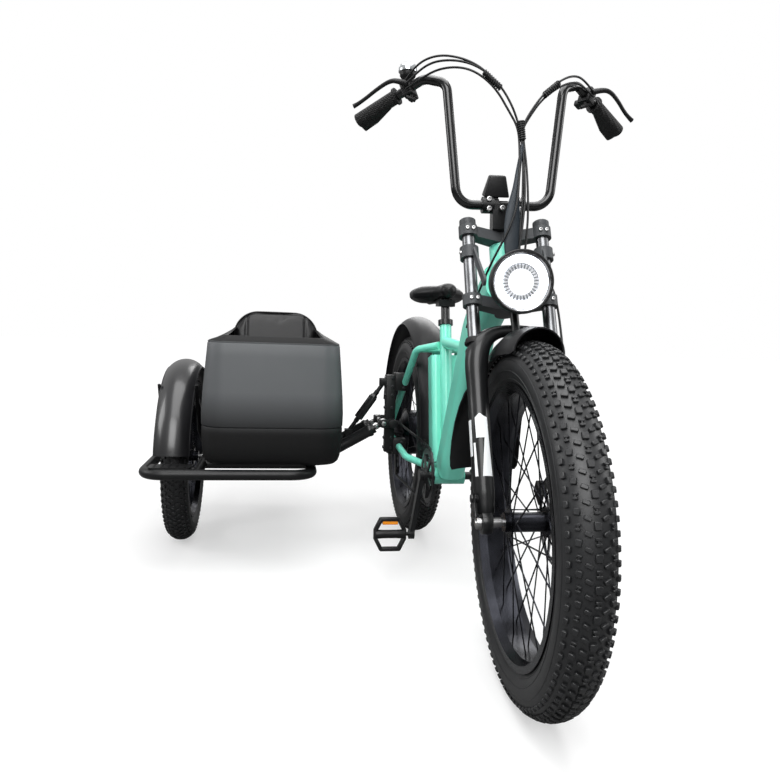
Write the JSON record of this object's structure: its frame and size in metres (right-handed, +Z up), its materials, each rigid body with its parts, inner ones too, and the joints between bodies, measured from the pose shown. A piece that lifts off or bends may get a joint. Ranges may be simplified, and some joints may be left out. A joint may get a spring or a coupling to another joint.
{
  "type": "electric sidecar tricycle",
  "caption": "Fat-tyre electric bicycle with a tub-shaped sidecar on its right side, standing on its wheels, with steering, wheels, crank and pedals that turn.",
  "frame": {"origin": "middle of the whole vehicle's base, on the ground", "axes": "+X the way it drives, +Y to the rider's left, +Z up"},
  "size_m": [2.0413, 1.2912, 1.3808],
  "materials": {
    "mint_paint": "satin mint paint",
    "black_paint": "satin black powder coat",
    "gloss_black": "gloss black paint",
    "wheel_black": "black anodised rims, hubs and spokes",
    "chrome": "polished legs",
    "steel": "bare steel",
    "post_metal": "black anodised post and dark clamp",
    "tyre": "black tread rubber",
    "rubber": "soft black rubber",
    "black_plastic": "grained satin black plastic",
    "leather": "black stitched covering",
    "lens": "clear lamp lens"
  },
  "bodies": {
    "frame": {"front_frame": "mint_paint", "headset": "black_paint", "rear_triangle": "mint_paint", "battery_pack": "mint_paint", "seat_post": "post_metal", "saddle": "leather", "rear_fender": "black_plastic", "rear_axle": "steel", "rear_caliper": "black_paint", "chain": "steel", "rear_derailleur": "black_paint", "link_bracket": "black_paint", "link_arms": "black_paint", "link_pins": "steel", "turnbuckle": "black_paint", "sidecar_frame": "black_paint", "sidecar_step": "black_paint", "sidecar_axle": "steel", "sidecar_tub": "black_plastic", "seat_cushion": "leather", "backrest": "leather", "sidecar_fender": "black_plastic"},
    "steering": {"fork_crowns": "black_paint", "fork_stanchions": "chrome", "fork_lowers": "black_paint", "front_axle": "steel", "stem": "black_paint", "handlebar": "gloss_black", "grips": "rubber", "brake_levers": "black_plastic", "display": "black_plastic", "bell": "post_metal", "lamp_housing": "black_plastic", "lamp_lens": "lens", "lamp_bracket": "black_paint", "front_fender": "black_plastic", "front_fender_bracket": "black_paint", "front_caliper": "black_paint", "cable_sleeve": "rubber", "control_cables": "rubber"},
    "front_wheel": {"front_tyre": "tyre", "front_wheel": "wheel_black", "front_disc": "steel"},
    "rear_wheel": {"rear_tyre": "tyre", "rear_wheel": "wheel_black", "rear_disc": "steel", "cassette": "steel"},
    "sidecar_wheel": {"sidecar_tyre": "tyre", "sidecar_wheel": "wheel_black"},
    "crank": {"crankset": "black_paint"},
    "pedal_right": {"pedal_right": "black_plastic"},
    "pedal_left": {"pedal_left": "black_plastic"}
  },
  "joints": [
    {"name": "steering", "type": "hinge", "parent": "frame", "child": "steering", "pos_m": [0.60868, 0.28146, 0.35414], "axis": [-0.3584, 0, 0.9336], "range_deg": [-34, 42]},
    {"name": "front_wheel_spin", "type": "hinge", "parent": "steering", "child": "front_wheel", "pos_m": [0.65059, 0.27832, 0.37022], "axis": [0.0651, 0.9976, 0.025], "continuous": true},
    {"name": "rear_wheel_spin", "type": "hinge", "parent": "frame", "child": "rear_wheel", "pos_m": [-0.5893, 0.28146, 0.37026], "axis": [0, 1, 0], "continuous": true},
    {"name": "sidecar_wheel_spin", "type": "hinge", "parent": "frame", "child": "sidecar_wheel", "pos_m": [-0.4993, -0.55154, 0.28926], "axis": [0, 1, 0], "continuous": true},
    {"name": "crank_spin", "type": "hinge", "parent": "frame", "child": "crank", "pos_m": [-0.0293, 0.28146, 0.32026], "axis": [0, 1, 0], "continuous": true},
    {"name": "pedal_right_spin", "type": "hinge", "parent": "crank", "child": "pedal_right", "pos_m": [-0.00931, 0.10646, 0.14742], "axis": [0, 1, 0], "continuous": true},
    {"name": "pedal_left_spin", "type": "hinge", "parent": "crank", "child": "pedal_left", "pos_m": [-0.0493, 0.45646, 0.49311], "axis": [0, 1, 0], "continuous": true}
  ]
}
